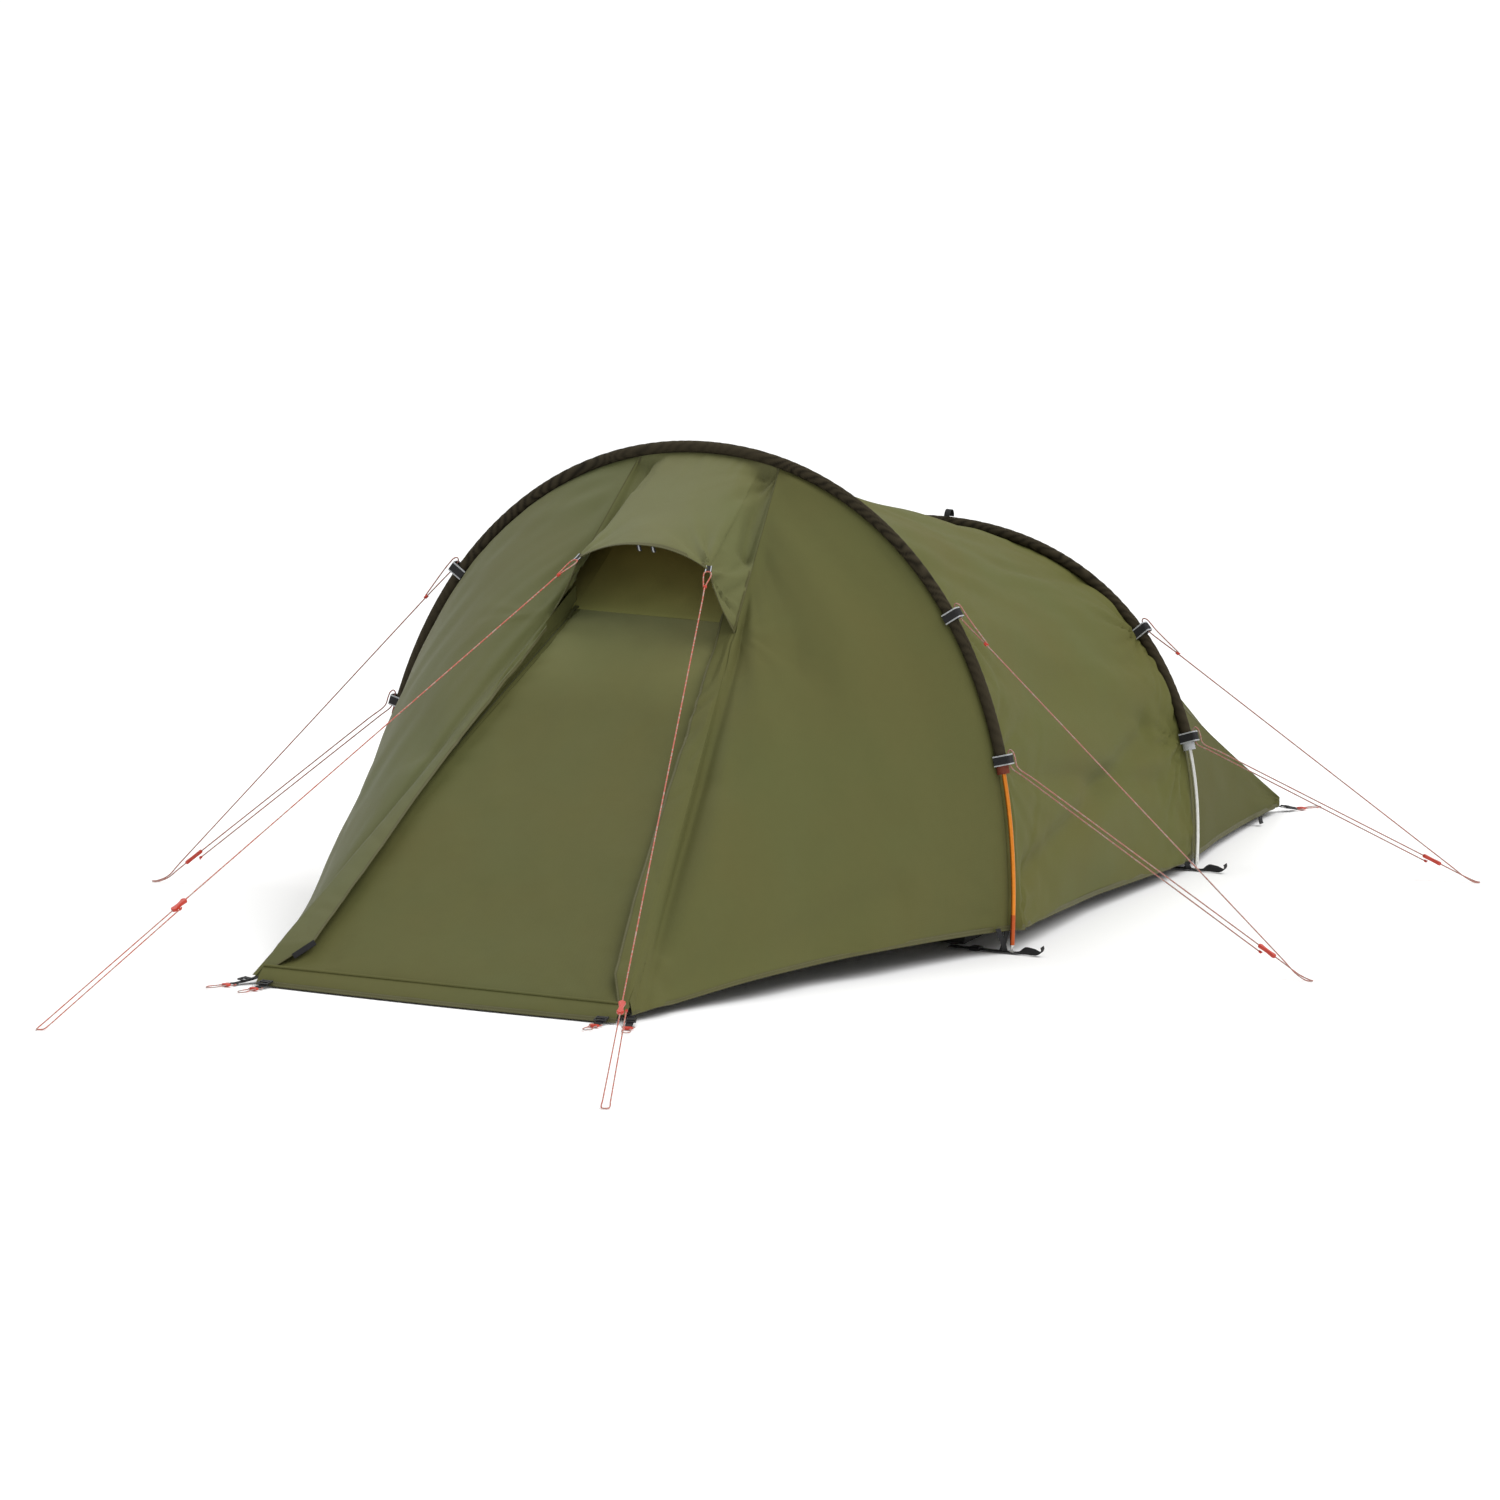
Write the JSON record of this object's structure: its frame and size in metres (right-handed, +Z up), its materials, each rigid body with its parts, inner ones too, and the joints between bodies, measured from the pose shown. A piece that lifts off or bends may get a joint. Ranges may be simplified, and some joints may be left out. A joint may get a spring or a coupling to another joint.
{
  "type": "tunnel tent",
  "caption": "Tunnel tent pitched on bent poles: zipped porch door under a vent hood, hung inner tent, tub floor, and guy lines with line runners.",
  "frame": {"origin": "on the ground, at the centre of the pitched tent's footprint, measured without the cords", "axes": "+Z up, +Y from the porch towards the low foot end, +X to the right side"},
  "size_m": [2.715, 4.4465, 1.0635],
  "materials": {
    "fly_fabric": "silicone-coated ripstop nylon, olive green",
    "sleeve_fabric": "thicker brown-black nylon pole sleeve, ribbed",
    "inner_fabric": "light uncoated polyester, sand",
    "floor_fabric": "coated nylon, dark grey",
    "webbing": "black woven polyester webbing",
    "cord": "braided polyester cord, red with grey flecks",
    "red_plastic": "moulded red acetal",
    "black_plastic": "moulded black acetal",
    "front_pole_metal": "orange anodised tube",
    "rear_pole_metal": "clear anodised tube",
    "zip": "black coil zip and its slider"
  },
  "bodies": {
    "tent": {"corner_tab_door_left": "webbing", "corner_tab_door_right": "webbing", "corner_tab_foot_left": "webbing", "corner_tab_foot_right": "webbing", "corner_tab_porch_left": "webbing", "corner_tab_porch_right": "webbing", "foot_roof": "fly_fabric", "foot_side_left": "fly_fabric", "foot_side_right": "fly_fabric", "foot_strap_front_left": "webbing", "foot_strap_front_right": "webbing", "foot_strap_rear_left": "webbing", "foot_strap_rear_right": "webbing", "front_pole": "front_pole_metal", "front_sleeve": "sleeve_fabric", "guy_cord_front_left": "cord", "guy_cord_front_right": "cord", "guy_cord_hood_left": "cord", "guy_cord_hood_right": "cord", "guy_cord_rear_left": "cord", "guy_cord_rear_right": "cord", "guy_loop_front_lower_left": "webbing", "guy_loop_front_lower_right": "webbing", "guy_loop_front_upper_left": "webbing", "guy_loop_front_upper_right": "webbing", "guy_loop_rear_lower_left": "webbing", "guy_loop_rear_lower_right": "webbing", "guy_loop_rear_upper_left": "webbing", "guy_loop_rear_upper_right": "webbing", "inner_tent": "inner_fabric", "peg_loop_door_left": "cord", "peg_loop_door_right": "cord", "peg_loop_foot_left": "cord", "peg_loop_foot_right": "cord", "peg_loop_porch_left": "cord", "peg_loop_porch_right": "cord", "porch_wall_left": "fly_fabric", "porch_wall_right": "fly_fabric", "rear_pole": "rear_pole_metal", "rear_sleeve": "sleeve_fabric", "tub_floor": "floor_fabric", "tunnel_canopy": "fly_fabric", "vent_hood": "fly_fabric", "vent_panel": "fly_fabric", "zip_tape_left": "fly_fabric", "zip_tape_right": "fly_fabric"},
    "door": {"door_panel": "fly_fabric"},
    "zip_right": {"zip_slider_right": "zip"},
    "zip_left": {"zip_slider_left": "zip"},
    "runner_front_right": {"guy_slider_front_right": "red_plastic"},
    "runner_front_left": {"guy_slider_front_left": "red_plastic"},
    "runner_rear_right": {"guy_slider_rear_right": "red_plastic"},
    "runner_rear_left": {"guy_slider_rear_left": "red_plastic"},
    "runner_hood_right": {"guy_slider_hood_right": "red_plastic"},
    "runner_hood_left": {"guy_slider_hood_left": "red_plastic"},
    "buckle_front_right": {"foot_buckle_front_right": "black_plastic"},
    "buckle_front_left": {"foot_buckle_front_left": "black_plastic"},
    "buckle_rear_right": {"foot_buckle_rear_right": "black_plastic"},
    "buckle_rear_left": {"foot_buckle_rear_left": "black_plastic"}
  },
  "joints": [
    {"name": "door_drop", "type": "hinge", "parent": "tent", "child": "door", "pos_m": [0, -1.705, 0.02], "axis": [-1, 0, 0], "range_deg": [0, 32]},
    {"name": "zip_slide_right", "type": "slide", "parent": "tent", "child": "zip_right", "axis": [0.1868, -0.8216, -0.5387], "range_m": [0, 1.15]},
    {"name": "zip_slide_left", "type": "slide", "parent": "tent", "child": "zip_left", "axis": [-0.1868, -0.8216, -0.5387], "range_m": [0, 1.15]},
    {"name": "runner_front_right_slide", "type": "slide", "parent": "tent", "child": "runner_front_right", "axis": [-0.8575, -0.0377, 0.5132], "range_m": [-0.02, 0.35]},
    {"name": "runner_front_left_slide", "type": "slide", "parent": "tent", "child": "runner_front_left", "axis": [0.677, 0.3608, 0.6415], "range_m": [-0.02, 0.35]},
    {"name": "runner_rear_right_slide", "type": "slide", "parent": "tent", "child": "runner_rear_right", "axis": [-0.8663, -0.2742, 0.4175], "range_m": [-0.02, 0.35]},
    {"name": "runner_rear_left_slide", "type": "slide", "parent": "tent", "child": "runner_rear_left", "axis": [0.8644, -0.2033, 0.4599], "range_m": [-0.02, 0.35]},
    {"name": "runner_hood_right_slide", "type": "slide", "parent": "tent", "child": "runner_hood_right", "axis": [0.3055, -0.8716, -0.3834], "range_m": [-0.45, 0.2]},
    {"name": "runner_hood_left_slide", "type": "slide", "parent": "tent", "child": "runner_hood_left", "axis": [-0.2118, -0.8796, -0.4259], "range_m": [-0.45, 0.2]},
    {"name": "buckle_front_right_slide", "type": "slide", "parent": "tent", "child": "buckle_front_right", "axis": [1, 0, 0], "range_m": [-0.045, 0.045]},
    {"name": "buckle_front_left_slide", "type": "slide", "parent": "tent", "child": "buckle_front_left", "axis": [-1, 0, 0], "range_m": [-0.045, 0.045]},
    {"name": "buckle_rear_right_slide", "type": "slide", "parent": "tent", "child": "buckle_rear_right", "axis": [1, 0, 0], "range_m": [-0.045, 0.045]},
    {"name": "buckle_rear_left_slide", "type": "slide", "parent": "tent", "child": "buckle_rear_left", "axis": [-1, 0, 0], "range_m": [-0.045, 0.045]}
  ]
}
